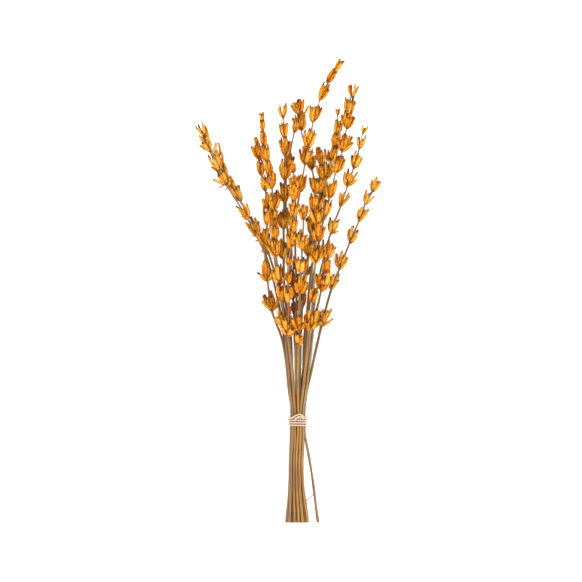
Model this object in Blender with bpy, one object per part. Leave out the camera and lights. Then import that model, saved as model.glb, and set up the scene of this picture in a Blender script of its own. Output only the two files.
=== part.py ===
"""Preserved lavender: a tied bunch of nineteen dried and dyed sprays, lying on a flat surface.

The bunch lies along +Y, with its cut ends at -Y, its tips at +Y and its underside at z = 0.
Each spray is one solid, a tapering stem with its calyces fused to it in whorls. The stems are
packed in four rows inside a twine tie, and fan out above and below it.
"""

import math
import random
from collections import namedtuple

import bmesh
import bpy
import numpy as np

MM = 0.001

# Driving dimensions in millimetres: along from the cut ends, across from the tie, height from z = 0
MIDDLE_ALONG = 199.6
MIDDLE_ACROSS = -8.1
TIE_ALONG = 87.0
TIE_ACROSS = -0.6
TIE_HEIGHT = 5.2
TIE_HALF_WIDTH = 6.0
SEAT_PITCH = 2.35
ROW_PITCH = 2.04
EDGE_COLUMN = 2.5
TOP_ROW = 1.5
STEM_FOOT_RADIUS = 1.3
STEM_RADIUS = 1.12
STEM_TIP_RADIUS = 0.6
TAPER_ALONG = 160.0
STEM_SIDES = 4
STEM_STEP = 30.0
FAN_LENGTH = 212.0
FOOT_SPREAD = 1.68
FOOT_JITTER = 0.4
FOOT_LIFT = 1.15
FOOT_ACROSS = -0.2
WAIST_ALONG = 45.0
WAIST_ACROSS = -1.6
CALYX_LENGTH = 12.8
CALYX_HALF_WIDTH = 2.0
CALYX_HALF_DEPTH = 1.9
BELLY_AT = 0.42
BELLY_BOW = 0.13
TIP_SLIMNESS = 0.6
ROOT_OFFSET = 0.4
ROOT_DEPTH = 0.8
LEAST_CALYCES = 2.0
MORE_CALYCES = 3.4
LEAST_LENGTH = 0.35
WHORL_WIDTH = 13.0
LEAST_SPREAD = 0.5
MOST_SPREAD = 7.4
STEEPEST = 0.78
WHORL_STAGGER = 2.6
ROOT_SCATTER = 1.2
TIER_SHARES = ((0.7, 2.3, 1.0), (0.2, 1.3, 0.5))
TURN_JITTER = 0.15
LENGTH_SHARES = (0.82, 1.1)
LEAST_GAP = 0.3
FLOOR_GAP = 0.5
PRESSED_DEPTH = 0.6
TWINE_RADIUS = 0.65
TWINE_TURNS = 4
TWINE_PITCH = 2.1
TWINE_CLEARANCE = 0.2
TWINE_SQUARENESS = 4
TWINE_TURN_POINTS = 16
TWINE_SIDES = 6
CUTTER_DEPTH = 20.0
CUTTER_SIDE = 600.0
WELD_DISTANCE = 0.001
SEED = 41

# How a calyx may give way to what is near it: turned by degrees, then closed and shortened
TURNS = (0, 18, -18, 36, -36)
CLOSINGS = ((1, 1), (0.75, 0.95), (0.5, 0.9))

# The knot on top of the tie: across, along and height, each from the middle of the tie's top
KNOT_STRAND = [
    (-10.2, 2.2, -1.9), (-8, 2.6, -0.2), (-5.5, 3.4, 0.9), (-3, 4.8, 1.3), (-0.8, 5.9, 1.5),
    (1.4, 6.2, 1.6), (3.4, 5.2, 1.4), (4.8, 3.9, 1.2), (7.4, 4.2, 0.3), (10.4, 5.0, -1.6),
]
KNOT_BRIDGE = [(-3.4, 0.6, 0.6), (-2.2, 2.6, 1.2), (0.4, 4.4, 1.0), (2.8, 4.2, 0.8), (4.4, 2.2, 0.7)]

Spray = namedtuple("Spray", "name seat height route whorls stray_foot pressed")
Calyx = namedtuple("Calyx", "root belly tip across outward")


def spray(name, seat, height, route, whorls, stray_foot=None, pressed=False):
    """seat is (columns right, rows up) in the tie, and height is that of the upper stem. route holds
    (along, across) from the tip down, and whorls holds (along, size), where size 1 is WHORL_WIDTH wide."""
    return Spray(name, seat, height, route, whorls, stray_foot, pressed)


SPRAYS = [
    spray("spray_01", (-1, -0.5), 17,
          [(336, -82), (320, -76), (293, -63), (263, -45), (249, -37), (225, -26), (192, -18), (157, -12)],
          [(333, 0.6), (327, 0.7), (321, 1.25), (304, 0.9), (292, 0.9), (263, 1.35), (249, 1.2)]),
    spray("spray_02", (-1.5, -1.5), 4.8,
          [(315, -69), (297, -62), (280, -52), (252, -36), (233, -26), (200, -17), (157, -10)],
          [(315, 0.7), (306, 0.7), (297, 0.75), (288, 0.8), (279, 0.9), (252, 0.6), (235, 1.35)],
          pressed=True),
    spray("spray_03", (-2.5, 0.5), 47,
          [(347, -31), (325, -29.5), (310, -27), (289, -23), (271, -21), (257, -22), (233, -21), (200, -16), (157, -8)],
          [(346, 0.2), (338, 0.4), (325, 0.55), (311, 0.85), (299, 0.7), (289, 1.0), (271, 0.95),
           (257, 1.05), (233, 1.0)]),
    spray("spray_04", (-2, -0.5), 27,
          [(326, -36), (300, -32), (287, -29), (271, -26.5), (255, -27), (233, -29), (209, -27), (184, -23), (157, -14)],
          [(326, 0.15), (314, 0.85), (300, 0.7), (287, 0.5), (271, 0.7), (259, 0.8), (240, 0.9), (211, 1.0),
           (184, 1.1)]),
    spray("spray_05", (-1.5, 0.5), 37,
          [(349, -13), (317, -12), (278, -12), (255, -13), (229, -13), (192, -11), (157, -7)],
          [(349, 0.6), (332, 0.7), (317, 0.8), (297, 1.0), (278, 1.3), (255, 1.0), (229, 0.95)]),
    spray("spray_06", (0, -0.5), 24,
          [(337, -3), (319, -7), (292, -11), (259, -10), (226, -7), (192, -4.5), (157, -3)],
          [(337, 0.5), (304, 0.9), (278, 0.7), (259, 0.8)]),
    spray("spray_07", (0.5, -1.5), 17,
          [(353, 1), (340, 2), (305, 11), (285, 15), (243, 13), (200, 10), (157, 6)],
          [(353, 1.6), (340, 0.95), (305, 0.8), (285, 0.9), (266, 0.85), (243, 0.85)]),
    spray("spray_08", (-0.5, 0.5), 47,
          [(389, 32), (379, 26), (365, 19), (346, 13), (324, 9), (286, 1), (264, -1.5), (230, -3),
           (200, -1.5), (157, -2)],
          [(389, 0.55), (379, 0.65), (365, 0.9), (346, 0.8), (324, 1.1), (310, 1.05), (286, 1.2)]),
    spray("spray_09", (1.5, 0.5), 47,
          [(367, 46), (361, 43), (341, 41.5), (321, 38), (303, 32), (281, 27), (243, 18), (200, 11), (157, 7)],
          [(367, 0.5), (352, 0.95), (341, 1.1), (321, 1.1), (303, 1.1), (281, 0.85), (265, 0.85),
           (243, 0.85)]),
    spray("spray_10", (2, -0.5), 27,
          [(352, 34), (335, 33.5), (325, 30), (312, 27), (281, 21), (243, 15), (200, 9), (157, 5)],
          [(352, 0.1), (335, 0.75), (325, 0.75), (312, 0.9), (297, 0.85), (281, 0.8), (259, 0.85)]),
    spray("spray_11", (1, -0.5), 37,
          [(317, 17), (297, 21), (285, 19), (250, 12), (200, 5), (157, 1)],
          [(317, 0.25), (309, 0.65), (297, 0.8), (285, 0.85), (269, 0.9), (250, 0.85), (187, 0.55)]),
    spray("spray_12", (2.5, 0.5), 37,
          [(336, 55), (323, 52), (304, 47), (274, 37), (251, 28), (229, 22), (201, 16), (157, 9)],
          [(336, 0.15), (323, 0.55), (306, 0.8), (292, 1.15), (274, 0.7), (251, 1.15), (229, 0.9)],
          stray_foot=17.4),
    spray("spray_13", (1.5, -1.5), 4.8,
          [(286, 64.5), (275, 57.5), (261, 52.5), (243, 45), (220, 36), (203, 29), (172, 20.5), (157, 17)],
          [(286, 0.85), (275, 0.55), (261, 0.8), (243, 0.9), (220, 1.0), (203, 0.95), (172, 1.45)],
          pressed=True),
    spray("spray_14", (0.5, 0.5), 57,
          [(286, 15), (254, 11), (231, 8), (200, 4), (157, 2)],
          [(286, 0.95), (269, 0.95), (254, 1.0), (231, 0.95)]),
    spray("spray_15", (0, 1.5), 67,
          [(262, 4), (237, 3), (216, 2.5), (200, 1), (155, 0)],
          [(262, 0.65), (237, 1.0), (216, 0.85), (200, 1.1), (167, 0.8), (155, 0.5)]),
    spray("spray_16", (1, 1.5), 67,
          [(259, 17), (225, 14), (199, 13), (169, 10), (157, 8.5)],
          [(259, 0.85), (245, 0.85), (225, 1.1), (191, 0.7), (169, 1.7)]),
    spray("spray_17", (2, 1.5), 57,
          [(229, 25.5), (202, 19.5), (157, 11.5)],
          [(229, 1.2), (216, 0.5), (202, 1.2)]),
    spray("spray_18", (-2, 1.5), 57,
          [(245, -20), (231, -19), (208, -16), (192, -14), (157, -10.5)],
          [(245, 0.7), (231, 0.9), (208, 1.0), (192, 0.8), (170, 1.1)]),
    spray("spray_19", (-1, 1.5), 67,
          [(303, -4.5), (286, -3.5), (264, -4), (238, -6), (225, -8), (192, -9), (163, -8.5), (153, -7.5)],
          [(302, 0.4), (286, 0.75), (278, 0.8), (264, 0.8), (250, 0.65), (238, 0.8), (222, 0.35), (208, 0.35),
           (192, 0.6), (164, 1.4)]),
]


def clear_scene():
    for thing in list(bpy.data.objects):
        bpy.data.objects.remove(thing)


def paint(node, name, colour, roughness):
    made = bpy.data.materials.new(f"{name} of {node.name}")
    made.use_nodes = True
    shader = made.node_tree.nodes["Principled BSDF"]
    shader.inputs["Base Color"].default_value = (*colour, 1)
    shader.inputs["Roughness"].default_value = roughness
    node.data.materials.clear()
    node.data.materials.append(made)


def smooth_through(knots, values, at):
    """A cubic through the values that never overshoots between two of them."""
    knots, values = np.asarray(knots, float), np.asarray(values, float)
    steps = np.diff(knots)
    rise = np.diff(values) / steps
    slopes = np.zeros(len(knots))
    slopes[0], slopes[-1] = rise[0], rise[-1]
    same_way = rise[:-1] * rise[1:] > 0
    both = np.where(same_way, rise[:-1] + rise[1:], 1)
    slopes[1:-1] = np.where(same_way, 2 * rise[:-1] * rise[1:] / both, 0)
    i = np.clip(np.searchsorted(knots, at) - 1, 0, len(steps) - 1)
    t = (at - knots[i]) / steps[i]
    start = values[i] * (1 + 2 * t) + slopes[i] * steps[i] * t
    end = values[i + 1] * (3 - 2 * t) - slopes[i + 1] * steps[i] * (1 - t)
    return start * (1 - t) ** 2 + end * t**2


def stem_points(one):
    """Points along a stem's middle line and the radius at each, from the cut end up."""
    seat_across = one.seat[0] * SEAT_PITCH
    seat_height = one.seat[1] * ROW_PITCH
    tied = [(TIE_ALONG + side * TIE_HALF_WIDTH, TIE_ACROSS + seat_across) for side in (-1, 1)]
    if one.stray_foot is None:
        jitter = random.Random(f"{SEED} foot of {one.name}").uniform(-FOOT_JITTER, FOOT_JITTER)
        foot = FOOT_ACROSS + seat_across * FOOT_SPREAD + jitter
        low = [(0, foot), (WAIST_ALONG, WAIST_ACROSS + seat_across)]
    else:
        low = [(0, one.stray_foot)]
    knots, values = zip(*(low + tied + one.route[::-1]))
    top = knots[-1]
    above = np.arange(TIE_ALONG + TIE_HALF_WIDTH, top - STEM_STEP / 2, STEM_STEP)
    along = np.concatenate([[knot for knot, _ in low + tied[:1]], above, [top]])
    across = smooth_through(knots, values, along)
    fan = np.sin(np.clip((along - TIE_ALONG - TIE_HALF_WIDTH) / FAN_LENGTH, 0, 1) * math.pi / 2)
    droop = 1 + (FOOT_LIFT - 1) * np.clip(1 - along / WAIST_ALONG, 0, 1)
    height = TIE_HEIGHT + seat_height * droop
    height += (one.height - TIE_HEIGHT - seat_height) * fan
    points = np.stack([across, along, height], axis=1)
    return points, stem_radius_at(points, along)


def stem_radius_at(points, along):
    radii = (STEM_FOOT_RADIUS, STEM_RADIUS, STEM_RADIUS, STEM_TIP_RADIUS)
    return np.interp(along, (0, WAIST_ALONG, TAPER_ALONG, points[-1][1]), radii)


def segment_distances(start, end, starts, ends):
    """The least distance from one segment to each of many."""
    own, others, between = end - start, ends - starts, start - starts
    own_square = own @ own
    squares = np.einsum("ij,ij->i", others, others)
    lean = others @ own
    ahead = between @ own
    aside = np.einsum("ij,ij->i", others, between)
    spread = np.maximum(own_square * squares - lean**2, 1e-9)
    s = np.clip((lean * aside - ahead * squares) / spread, 0, 1)
    t = np.clip((lean * s + aside) / squares, 0, 1)
    s = np.clip((lean * t - ahead) / own_square, 0, 1)
    return np.linalg.norm(between + s[:, None] * own - t[:, None] * others, axis=1)


def runs_of(calyx):
    """A calyx as two capsules, each (start, end, radius): root to belly, and on to near its slim tip."""
    near_tip = calyx.belly + (calyx.tip - calyx.belly) * (1 - BELLY_AT)
    return [
        (calyx.root, calyx.belly, CALYX_HALF_WIDTH),
        (calyx.belly, near_tip, CALYX_HALF_WIDTH * TIP_SLIMNESS),
    ]


def is_clear(calyx, obstacles, lowest):
    """Whether a calyx keeps its gap from every other spray and from the surface below."""
    if min(calyx.tip[2], calyx.belly[2] - CALYX_HALF_DEPTH) < lowest:
        return False
    starts, ends, radii = obstacles
    return all(
        (segment_distances(start, end, starts, ends) - radii - radius).min() > LEAST_GAP
        for start, end, radius in runs_of(calyx)
    )


def on_stem(points, along):
    return np.array([np.interp(along, points[:, 1], points[:, axis]) for axis in range(3)])


def calyx_at(points, along, angle, lean, length):
    """A calyx rooted in a stem, leaning from its direction at this angle round it and bowing out."""
    forward = on_stem(points, along + CALYX_LENGTH / 2) - on_stem(points, along - CALYX_LENGTH)
    forward /= np.linalg.norm(forward)
    side = np.cross(forward, (0, 0, 1))
    side /= np.linalg.norm(side)
    up = np.cross(side, forward)
    out = math.cos(angle) * side + math.sin(angle) * up
    direction = math.cos(lean) * forward + math.sin(lean) * out
    outward = math.cos(lean) * out - math.sin(lean) * forward
    root = on_stem(points, along) + out * ROOT_OFFSET * stem_radius_at(points, along)
    root -= direction * ROOT_DEPTH
    reach = ROOT_DEPTH + length
    belly = root + direction * reach * BELLY_AT + outward * reach * BELLY_BOW
    across = np.cross(direction, outward)
    return Calyx(
        root, belly, root + direction * reach, across * CALYX_HALF_WIDTH, outward * CALYX_HALF_DEPTH
    )


def spread_of(size):
    """How far out a calyx leans in its own length, as a whorl of this size is wide."""
    return min(max(WHORL_WIDTH / 2 * size - CALYX_HALF_WIDTH, LEAST_SPREAD), MOST_SPREAD) / CALYX_LENGTH


def length_of(size):
    """The length of a calyx in a whorl of this size, full except in the smallest whorls."""
    return CALYX_LENGTH * min(1, LEAST_LENGTH + size)


def calyces_of(one, points, draw, obstacles):
    """The calyces of a spray's whorls, each turned, closed or shortened until it clears the others."""
    lowest = -PRESSED_DEPTH if one.pressed else FLOOR_GAP
    found = []
    for along, size in one.whorls:
        count = round(LEAST_CALYCES + MORE_CALYCES * size)
        turn = -math.pi / 2 if one.pressed else draw.uniform(0, 2 * math.pi)
        for k in range(count):
            tier = k % 2
            angle = turn + 2 * math.pi * (k + draw.uniform(-TURN_JITTER, TURN_JITTER)) / count
            lean = math.asin(min(spread_of(size) * draw.triangular(*TIER_SHARES[tier]), STEEPEST))
            length = length_of(size) * draw.uniform(*LENGTH_SHARES)
            start = along + WHORL_STAGGER * size * (tier - 0.5) + draw.uniform(-ROOT_SCATTER, ROOT_SCATTER)
            tries = (
                calyx_at(points, start, angle + math.radians(shift), lean * close, length * short)
                for close, short in CLOSINGS
                for shift in TURNS
            )
            clear = next((calyx for calyx in tries if is_clear(calyx, obstacles, lowest)), None)
            if clear:
                found.append(clear)
    return found


def capsules(points, radii):
    """The straight runs of a stem, as obstacles."""
    return points[:-1], points[1:], np.maximum(radii[:-1], radii[1:])


def joined(groups):
    return [np.concatenate(parts) for parts in zip(*groups)]


def arrange():
    """Every spray's stem and calyces. The sprays on top are laid out first, as they show most."""
    stems = {one.name: stem_points(one) for one in SPRAYS}
    laid = {}
    for one in sorted(SPRAYS, key=lambda one: -one.height):
        draw = random.Random(f"{SEED} {one.name}")
        groups = [capsules(*stems[other.name]) for other in SPRAYS if other is not one]
        for calyces in laid.values():
            runs = [run for calyx in calyces for run in runs_of(calyx)]
            groups.append([np.array(column) for column in zip(*runs)])
        laid[one.name] = calyces_of(one, stems[one.name][0], draw, joined(groups))
    return stems, laid


def placed(points):
    """Millimetres in the bunch's own measures to metres in the part's frame."""
    return (np.asarray(points) - (MIDDLE_ACROSS, MIDDLE_ALONG, 0)) * MM


def tube(name, points, radii, thickness, sides):
    """A tapering tube along the points, closed at both ends, as a mesh object."""
    curve = bpy.data.curves.new(name, "CURVE")
    curve.dimensions = "3D"
    curve.bevel_depth = thickness * MM
    curve.bevel_resolution = (sides - 4) // 2
    curve.use_fill_caps = True
    line = curve.splines.new("POLY")
    line.points.add(len(points) - 1)
    for point, place, radius in zip(line.points, placed(points), radii):
        point.co = (*place, 1)
        point.radius = radius / thickness
    guide = bpy.data.objects.new(name + "_guide", curve)
    bpy.context.scene.collection.objects.link(guide)
    bpy.context.view_layer.update()
    mesh = bpy.data.meshes.new_from_object(guide.evaluated_get(bpy.context.evaluated_depsgraph_get()))
    bpy.data.objects.remove(guide)
    weld(mesh)
    return mesh


def weld(mesh):
    shape = bmesh.new()
    shape.from_mesh(mesh)
    bmesh.ops.remove_doubles(shape, verts=shape.verts, dist=WELD_DISTANCE * MM)
    bmesh.ops.recalc_face_normals(shape, faces=shape.faces)
    shape.to_mesh(mesh)
    shape.free()


def calyx_mesh(calyx):
    """A bud of eight faces, pointed at its root and tip, with four corners round its bowed belly."""
    corners = [calyx.belly + side * half for side in (1, -1) for half in (calyx.across, calyx.outward)]
    mesh = bpy.data.meshes.new("calyx")
    ends = (0, 5)
    faces = [(end, 1 + k, 1 + (k + 1) % 4) for end in ends for k in range(4)]
    mesh.from_pydata(placed([calyx.root, *corners, calyx.tip]), [], faces)
    weld(mesh)
    return mesh


def fuse(node, others):
    """Joins the other objects to the node with one Boolean union, and removes them."""
    gathered = bpy.data.collections.new("fused to " + node.name)
    bpy.context.scene.collection.children.link(gathered)
    for other in others:
        gathered.objects.link(other)
    union = node.modifiers.new("Union", "BOOLEAN")
    union.operation = "UNION"
    union.operand_type = "COLLECTION"
    union.collection = gathered
    bpy.context.view_layer.update()
    mesh = bpy.data.meshes.new_from_object(node.evaluated_get(bpy.context.evaluated_depsgraph_get()))
    node.modifiers.clear()
    for other in others:
        bpy.data.objects.remove(other)
    bpy.data.collections.remove(gathered)
    weld(mesh)
    node.data = mesh


def trim_flat(node, cutter):
    """Presses what reaches below the surface flat against it."""
    cut = node.modifiers.new("Flat rest", "BOOLEAN")
    cut.operation = "DIFFERENCE"
    cut.object = cutter


def make_cutter(collection):
    """A slab under z = 0, wider than the bunch."""
    bpy.ops.mesh.primitive_cube_add(size=1, location=(0, 0, -CUTTER_DEPTH / 2 * MM))
    cutter = bpy.context.object
    cutter.name = "surface_cutter"
    cutter.scale = (CUTTER_SIDE * MM, CUTTER_SIDE * MM, CUTTER_DEPTH * MM)
    for holder in list(cutter.users_collection):
        holder.objects.unlink(cutter)
    collection.objects.link(cutter)
    cutter.hide_render = True
    cutter.display_type = "WIRE"
    return cutter


def make_spray(one, stem, calyces, collection):
    points, radii = stem
    node = bpy.data.objects.new(one.name, tube(one.name, points, radii, STEM_RADIUS, STEM_SIDES))
    collection.objects.link(node)
    fuse(node, [bpy.data.objects.new("calyx", calyx_mesh(calyx)) for calyx in calyces])
    paint(node, "dyed lavender", (0.75, 0.33, 0.05), 0.75)
    return node


def twine_along(name, path):
    return tube(name, path, np.full(len(path), TWINE_RADIUS), TWINE_RADIUS, TWINE_SIDES)


def twine_wraps():
    """The middle line of the twine round the stems, a helix squared off as a superellipse."""
    around = STEM_RADIUS + TWINE_CLEARANCE + TWINE_RADIUS
    turn = np.linspace(0, TWINE_TURNS, TWINE_TURNS * TWINE_TURN_POINTS + 1)
    angle = 2 * math.pi * turn - math.pi / 2
    bend = 2 / TWINE_SQUARENESS
    across = np.sign(np.cos(angle)) * np.abs(np.cos(angle)) ** bend * (EDGE_COLUMN * SEAT_PITCH + around)
    rise = np.sign(np.sin(angle)) * np.abs(np.sin(angle)) ** bend * (TOP_ROW * ROW_PITCH + around)
    along = TIE_ALONG + (turn - TWINE_TURNS / 2) * TWINE_PITCH
    return np.stack([TIE_ACROSS + across, along, TIE_HEIGHT + rise], axis=1)


def make_tie(collection):
    wraps = twine_wraps()
    node = bpy.data.objects.new("twine_tie", twine_along("twine_tie", wraps))
    collection.objects.link(node)
    top = wraps[:, 2].max()
    pieces = []
    for line in (KNOT_STRAND, KNOT_BRIDGE):
        path = [(across, TIE_ALONG + along, top + rise) for across, along, rise in line]
        pieces.append(bpy.data.objects.new("knot", twine_along("knot", path)))
    fuse(node, pieces)
    node.data.shade_smooth()
    paint(node, "cotton twine", (0.90, 0.75, 0.60), 0.9)
    return node


def main():
    clear_scene()
    bunch = bpy.data.collections.new("preserved_lavender")
    cutters = bpy.data.collections.new("cutters")
    for collection in (bunch, cutters):
        bpy.context.scene.collection.children.link(collection)
    cutter = make_cutter(cutters)
    stems, laid = arrange()
    for one in SPRAYS:
        node = make_spray(one, stems[one.name], laid[one.name], bunch)
        if one.pressed:
            trim_flat(node, cutter)
    trim_flat(make_tie(bunch), cutter)


main()
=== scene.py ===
"""Preserved lavender: nineteen dyed sprays in a twine tie, lying on a pale floor and seen from above.

Points are in millimetres in the bunch's own measures, across from the tie's middle, along from the
cut ends and height above the floor, until placed() turns them into metres in the frame.
"""

import math
import random
from collections import namedtuple

import bpy
import numpy as np
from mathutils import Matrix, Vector


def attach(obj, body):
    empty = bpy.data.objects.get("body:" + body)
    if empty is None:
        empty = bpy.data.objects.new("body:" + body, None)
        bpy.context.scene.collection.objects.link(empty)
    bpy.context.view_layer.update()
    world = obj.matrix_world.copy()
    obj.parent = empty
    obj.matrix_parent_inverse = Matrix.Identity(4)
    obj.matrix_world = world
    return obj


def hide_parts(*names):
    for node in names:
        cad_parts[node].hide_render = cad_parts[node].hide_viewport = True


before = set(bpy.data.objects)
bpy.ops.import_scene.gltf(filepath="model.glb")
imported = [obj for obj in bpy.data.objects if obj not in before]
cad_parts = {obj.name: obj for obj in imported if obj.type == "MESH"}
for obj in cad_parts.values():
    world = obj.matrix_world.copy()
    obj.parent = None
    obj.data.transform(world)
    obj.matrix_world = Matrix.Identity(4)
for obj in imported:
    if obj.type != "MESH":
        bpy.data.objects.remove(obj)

MM = 0.001

# The solids' own measures, which the visible sprays keep
MIDDLE_ALONG = 199.6
MIDDLE_ACROSS = -8.1
TIE_ALONG = 87.0
TIE_ACROSS = -0.6
TIE_HEIGHT = 5.2
TIE_HALF_WIDTH = 6.0
SEAT_PITCH = 2.35
ROW_PITCH = 2.04
EDGE_COLUMN = 2.5
TOP_ROW = 1.5
STEM_FOOT_RADIUS = 1.3
STEM_RADIUS = 1.12
STEM_TIP_RADIUS = 0.6
TAPER_ALONG = 160.0
STEM_STEP = 30.0
FAN_LENGTH = 212.0
FOOT_SPREAD = 1.68
FOOT_JITTER = 0.4
FOOT_LIFT = 1.15
FOOT_ACROSS = -0.2
WAIST_ALONG = 45.0
WAIST_ACROSS = -1.6
CALYX_LENGTH = 12.8
CALYX_HALF_WIDTH = 2.0
CALYX_HALF_DEPTH = 1.9
BELLY_AT = 0.42
BELLY_BOW = 0.13
TIP_SLIMNESS = 0.6
ROOT_OFFSET = 0.4
ROOT_DEPTH = 0.8
LEAST_CALYCES = 2.0
MORE_CALYCES = 3.4
LEAST_LENGTH = 0.35
WHORL_WIDTH = 13.0
LEAST_SPREAD = 0.5
MOST_SPREAD = 7.4
STEEPEST = 0.78
WHORL_STAGGER = 2.6
ROOT_SCATTER = 1.2
TIER_SHARES = ((0.7, 2.3, 1.0), (0.2, 1.3, 0.5))
TURN_JITTER = 0.15
LENGTH_SHARES = (0.82, 1.1)
LEAST_GAP = 0.3
FLOOR_GAP = 0.5
PRESSED_DEPTH = 0.6
TWINE_RADIUS = 0.65
TWINE_TURNS = 4
TWINE_PITCH = 2.1
TWINE_CLEARANCE = 0.2
TWINE_SQUARENESS = 4
SEED = 41
TURNS = (0, 18, -18, 36, -36)
CLOSINGS = ((1, 1), (0.75, 0.95), (0.5, 0.9))
KNOT_STRAND = [
    (-10.2, 2.2, -1.9), (-8, 2.6, -0.2), (-5.5, 3.4, 0.9), (-3, 4.8, 1.3), (-0.8, 5.9, 1.5),
    (1.4, 6.2, 1.6), (3.4, 5.2, 1.4), (4.8, 3.9, 1.2), (7.4, 4.2, 0.3), (10.4, 5.0, -1.6),
]
KNOT_BRIDGE = [(-3.4, 0.6, 0.6), (-2.2, 2.6, 1.2), (0.4, 4.4, 1.0), (2.8, 4.2, 0.8), (4.4, 2.2, 0.7)]

# The visible surfaces' own measures. Tips above this height are pressed down to half their rise over it
TOP_HEIGHT = 70.0

# Along a calyx from its root: where each ring is, and its share of the full half width
CALYX_RINGS_AT = np.array([0.03, 0.15, 0.32, 0.54, 0.77, 0.91])
CALYX_GIRTH = np.array([0.5, 0.84, 1.0, 1.02, 0.95, 0.8])
CALYX_COLUMNS = 10
CALYX_SLIMNESS = 0.76
# How far from another calyx its painted contact shade reaches
CALYX_SHADE_REACH = 0.6
CALYX_CRUMPLE = 0.11
RIB_RISE = 0.07
TOOTH_SHARE = 0.09
MOUTH_DEPTH = 0.16
MOUTH_REACH = 1.15
GIRTHS = (0.8, 1.08)
HOOKS = (-0.07, 0.07)
SWINGS = (-0.08, 0.08)
# The calyces of whorls up to the first size hook outwards, and from the second size on inwards
SPLAYED_SIZE = 0.6
SPLAYED_HOOK = 0.08
CUPPED_SIZE = 1.0
CUPPED_HOOK = -0.05
# The calyces that lean far out are straighter, and in the middle whorls shorter
STEEP_FROM = 0.85
STEEP_FADE = 0.3
STEEP_STRAIGHTNESS = 0.6
STEEP_SHORTNESS = 0.35
SHORTENED_ALONG = (195.0, 285.0)

# Most outer calyces stand in slim pairs, which part by these shares at root, belly and tip
PAIR_SLIMNESS = 0.68
PAIR_SHIFTS = (0.4, 0.6)
PAIR_PARTING = (0.3, 0.9, 1.25)
PAIR_SLIPS = (-0.14, 0.03)
PAIR_LEANS = (-0.3, 0.1)
LONE_CHANCE = 0.25
LONE_CHANCE_LOW = 0.75
LOW_STOUTNESS = 1.3
LOW_ALONG = 222.0
SMALL_SIZE = 0.8
SMALL_SHORTNESS = 0.86

# The outermost sprays are a yellower orange and open, and others open at their top whorl alone. Their
# calyces have this slimness and lean in small whorls and in large ones
FRESH_SPRAYS = ("spray_01", "spray_02", "spray_12", "spray_13")
OPEN_TOPS = ("spray_05", "spray_07", "spray_09", "spray_14")
TOP_WHORL_LENGTH = 4.0
OPEN_SMALL = (0.76, 1.2)
OPEN_LARGE = (0.9, 0.4)
OPEN_REACHES = (0.78, 0.95)
OPEN_LEANS = (0.6, 1.3)

# The calyces that fill a whorl: how many, as (least, more with size), and the shortest, as a share of a
# full one, in most sprays and in the fresh ones. A fresh spray's whorls below the bare size have one
FILLING_CALYCES = (-0.5, 7.0)
FILLING_LENGTHS = (0.68, 0.55)
FILLING_LENGTH_RANGE = 0.3
FILLING_LEANS = (0.1, 1.0)
FILLING_STAGGERS = (-0.4, 0.5)
FILLING_SLIMNESS = 0.72
FRESH_BARE_SIZE = 0.95

# Small withered whorls deep in the bunch, each (along, size), red brown, partly as painted shade
WITHERED_WHORLS = {
    "spray_05": [(211, 0.45), (190, 0.45)],
    "spray_06": [(228, 0.6), (216, 0.5), (204, 0.6), (192, 0.5), (180, 0.45)],
    "spray_08": [(218, 0.55), (206, 0.5), (194, 0.55), (183, 0.5)],
    "spray_11": [(214, 0.45), (198, 0.4)],
    "spray_14": [(206, 0.4), (192, 0.45)],
    "spray_19": [(178, 0.4)],
}

# The pair of bracts under a whorl, and the long loose ones, each (along, side, lean, length). Leans are
# in degrees, and a girth is a width and a depth as shares of a calyx's
BRACT_LENGTH = 4.2
BRACT_LEANS = (18, 28)
BRACT_GIRTH = (0.7, 0.3)
LOOSE_BRACT_GIRTH = (0.5, 0.42)
LOOSE_BRACTS = {
    "spray_01": [(292, -1, 88, 9), (293, 1, 62, 7), (289, -1, 110, 4)],
    "spray_02": [(247, -1, 58, 12), (244, -1, 74, 9)],
    "spray_12": [(226, 1, 80, 8), (217, 1, 62, 9)],
}

# A dried floret is rooted this share of its calyx's length below the tip, and reaches past it
FLORET_CHANCE = 0.4
FLORET_ROOT = 0.24
FLORET_REACHES = (0.03, 0.12)
FLORET_SWINGS = (-0.35, 0.35)
FLORET_WIDTHS = (0.5, 0.8)
FLORET_DEPTH = 0.6

# The kinds of calyx in a spray: outer, filling, bracts, withered and florets. Each has its tints on the
# calyx material's ramp, brown below 0, what a fresh spray adds to them, and its mouths' widths
KINDS = (
    ((0.2, 0.88), (0.35, 0.175), (0.6, 1.2)),
    # The filling calyces inside the whorl take darker tints, partly painted shade
    ((0.1, 0.65), (0.35, 0.35), (0.6, 1.2)),
    ((-0.3, -0.1), (0, 0), (0.3, 0.4)),
    ((-0.75, -0.45), (0, 0), (0.6, 1.2)),
    ((-1.0, -0.7), (0, 0), (0.7, 1.4)),
)

# Each stem's tone on the stem material's ramp, where the photograph tells it apart
STEM_TONES = {
    "spray_02": 0.05, "spray_03": 0.1, "spray_05": 0.95, "spray_06": 1.0, "spray_12": 0.0,
    "spray_13": 0.05, "spray_14": 0.85, "spray_15": 0.25, "spray_16": 0.4, "spray_17": 0.2,
    "spray_18": 0.05, "spray_19": 0.6,
}
STEM_COLUMNS = 16
STEM_FINE_STEP = 3.5
STEM_SQUARENESS = 0.1
# How far from another stem its painted contact shade reaches
STEM_SHADE_REACH = 0.8
STEM_WANDER = 0.4
WANDER_LENGTHS = (55.0, 95.0)
GIRTH_CHANGE = 0.1
GIRTH_LENGTHS = (18.0, 40.0)
FLARE_LENGTH = 18.0
NODE_SWELL = 0.35
NODE_LENGTH = 2.0
PITH_SHARE = 0.45
PITH_RIM = 0.12
STEM_POINT = 0.2

# The fine dry fibre between two stems, from and to (spray, along)
FIBRE_ENDS = (("spray_12", 25.5), ("spray_17", 18.1))
FIBRE_RADIUS = 0.36
FIBRE_BOW = 2.0
FIBRE_POINTS = 12
FIBRE_COLUMNS = 6
FIBRE_DARKNESS = 0.9

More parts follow.
